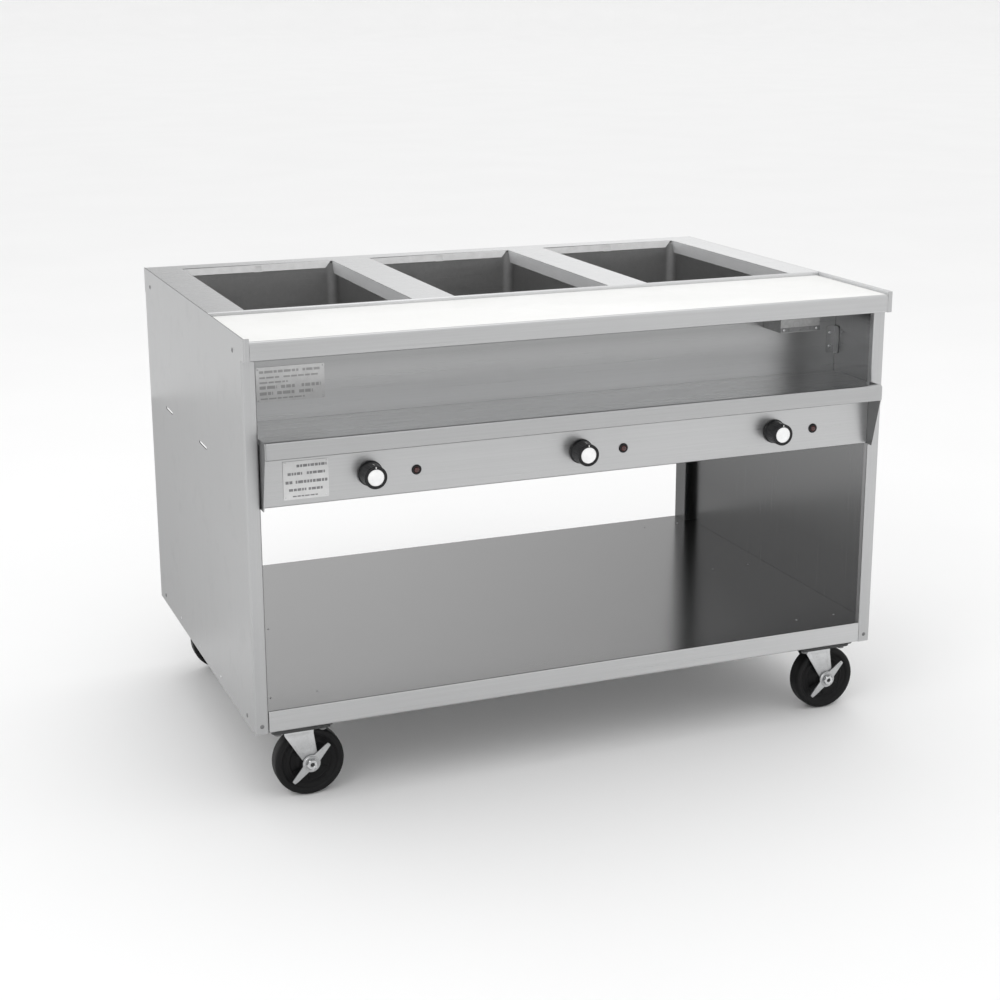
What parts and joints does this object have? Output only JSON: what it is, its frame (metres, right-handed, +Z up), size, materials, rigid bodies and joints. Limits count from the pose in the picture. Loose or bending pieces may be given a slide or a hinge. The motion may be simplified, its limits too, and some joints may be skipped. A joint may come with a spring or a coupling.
{
  "type": "steam table unit",
  "caption": "Mobile hot food table: open wells in a steel deck, front cutting board, plate shelf, control panel, open storage shelf and swivel casters.",
  "frame": {"origin": "bottom centre of the whole table's box, on the floor under the middle of the cabinet", "axes": "+X to the operator's right along the row of wells, +Y from the operator's side to the serving side, +Z up; the controls face -Y"},
  "size_m": [1.2192, 0.832, 0.8382],
  "materials": {
    "cabinet_steel": "number 4 brushed stainless sheet",
    "deck_steel": "bright brushed stainless sheet",
    "well_liner": "dull grey galvanised sheet",
    "element_sheath": "oxidised nickel alloy sheath, matte",
    "insulation": "mineral wool",
    "board_plastic": "white polyethylene, fine matte",
    "black_plastic": "black moulded plastic",
    "switch_body": "phenolic",
    "pilot_lens": "dark red lens, unlit",
    "label_plate": "printed metallised plate with plain bars in place of wording",
    "wheel_rubber": "black moulded wheel",
    "caster_zinc": "zinc plated steel"
  },
  "bodies": {
    "cabinet": {"base_channel_left": "cabinet_steel", "base_channel_right": "cabinet_steel", "bottom_shelf": "cabinet_steel", "caster_plate_front_left": "caster_zinc", "caster_plate_front_right": "caster_zinc", "caster_plate_rear_left": "caster_zinc", "caster_plate_rear_right": "caster_zinc", "control_panel": "cabinet_steel", "control_switch_left": "switch_body", "control_switch_middle": "switch_body", "control_switch_right": "switch_body", "end_panel_left": "cabinet_steel", "end_panel_right": "cabinet_steel", "front_fascia": "cabinet_steel", "gusset_left": "cabinet_steel", "gusset_right": "cabinet_steel", "heating_element_left": "element_sheath", "heating_element_middle": "element_sheath", "heating_element_right": "element_sheath", "instruction_plate": "label_plate", "insulation_pad": "insulation", "junction_box": "cabinet_steel", "pilot_light_left": "pilot_lens", "pilot_light_middle": "pilot_lens", "pilot_light_right": "pilot_lens", "plate_shelf": "cabinet_steel", "rating_plate": "label_plate", "rear_panel": "cabinet_steel", "recess_back_wall": "cabinet_steel", "supply_gland": "black_plastic", "swivel_race_front_left": "caster_zinc", "swivel_race_front_right": "caster_zinc", "swivel_race_rear_left": "caster_zinc", "swivel_race_rear_right": "caster_zinc", "top_deck": "deck_steel", "well_housing": "cabinet_steel", "well_pan_left": "well_liner", "well_pan_middle": "well_liner", "well_pan_right": "well_liner", "wiring_cover": "cabinet_steel"},
    "cutting_board": {"cutting_board": "board_plastic"},
    "knob_left": {"knob_left": "black_plastic"},
    "knob_middle": {"knob_middle": "black_plastic"},
    "knob_right": {"knob_right": "black_plastic"},
    "front_left_swivel": {"caster_fork_front_left": "caster_zinc", "caster_axle_front_left": "caster_zinc"},
    "front_left_wheel": {"caster_wheel_front_left": "wheel_rubber"},
    "front_left_brake": {"brake_lever_front_left": "caster_zinc"},
    "front_right_swivel": {"caster_fork_front_right": "caster_zinc", "caster_axle_front_right": "caster_zinc"},
    "front_right_wheel": {"caster_wheel_front_right": "wheel_rubber"},
    "front_right_brake": {"brake_lever_front_right": "caster_zinc"},
    "rear_left_swivel": {"caster_fork_rear_left": "caster_zinc", "caster_axle_rear_left": "caster_zinc"},
    "rear_left_wheel": {"caster_wheel_rear_left": "wheel_rubber"},
    "rear_right_swivel": {"caster_fork_rear_right": "caster_zinc", "caster_axle_rear_right": "caster_zinc"},
    "rear_right_wheel": {"caster_wheel_rear_right": "wheel_rubber"}
  },
  "joints": [
    {"name": "board_lift", "type": "slide", "parent": "cabinet", "child": "cutting_board", "axis": [0, 0, 1], "range_m": [0, 0.15]},
    {"name": "knob_left_turn", "type": "hinge", "parent": "cabinet", "child": "knob_left", "pos_m": [-0.3956, -0.373, 0.59], "axis": [0, 1, 0], "range_deg": [0, 300]},
    {"name": "knob_middle_turn", "type": "hinge", "parent": "cabinet", "child": "knob_middle", "pos_m": [-0.007, -0.373, 0.59], "axis": [0, 1, 0], "range_deg": [0, 300]},
    {"name": "knob_right_turn", "type": "hinge", "parent": "cabinet", "child": "knob_right", "pos_m": [0.3816, -0.373, 0.59], "axis": [0, 1, 0], "range_deg": [0, 300]},
    {"name": "front_left_swivel_turn", "type": "hinge", "parent": "cabinet", "child": "front_left_swivel", "pos_m": [-0.5236, -0.31, 0.13], "axis": [0, 0, 1], "continuous": true},
    {"name": "front_left_wheel_spin", "type": "hinge", "parent": "front_left_swivel", "child": "front_left_wheel", "pos_m": [-0.5016, -0.31, 0.06296], "axis": [0, 1, 0], "continuous": true},
    {"name": "front_left_brake_press", "type": "hinge", "parent": "front_left_swivel", "child": "front_left_brake", "pos_m": [-0.5016, -0.31, 0.06296], "axis": [0, 1, 0], "range_deg": [0, 25]},
    {"name": "front_right_swivel_turn", "type": "hinge", "parent": "cabinet", "child": "front_right_swivel", "pos_m": [0.5236, -0.31, 0.13], "axis": [0, 0, 1], "continuous": true},
    {"name": "front_right_wheel_spin", "type": "hinge", "parent": "front_right_swivel", "child": "front_right_wheel", "pos_m": [0.5456, -0.31, 0.06296], "axis": [0, 1, 0], "continuous": true},
    {"name": "front_right_brake_press", "type": "hinge", "parent": "front_right_swivel", "child": "front_right_brake", "pos_m": [0.5456, -0.31, 0.06296], "axis": [0, 1, 0], "range_deg": [0, 25]},
    {"name": "rear_left_swivel_turn", "type": "hinge", "parent": "cabinet", "child": "rear_left_swivel", "pos_m": [-0.5236, 0.35, 0.13], "axis": [0, 0, 1], "continuous": true},
    {"name": "rear_left_wheel_spin", "type": "hinge", "parent": "rear_left_swivel", "child": "rear_left_wheel", "pos_m": [-0.5016, 0.35, 0.06296], "axis": [0, 1, 0], "continuous": true},
    {"name": "rear_right_swivel_turn", "type": "hinge", "parent": "cabinet", "child": "rear_right_swivel", "pos_m": [0.5236, 0.35, 0.13], "axis": [0, 0, 1], "continuous": true},
    {"name": "rear_right_wheel_spin", "type": "hinge", "parent": "rear_right_swivel", "child": "rear_right_wheel", "pos_m": [0.5456, 0.35, 0.06296], "axis": [0, 1, 0], "continuous": true}
  ]
}
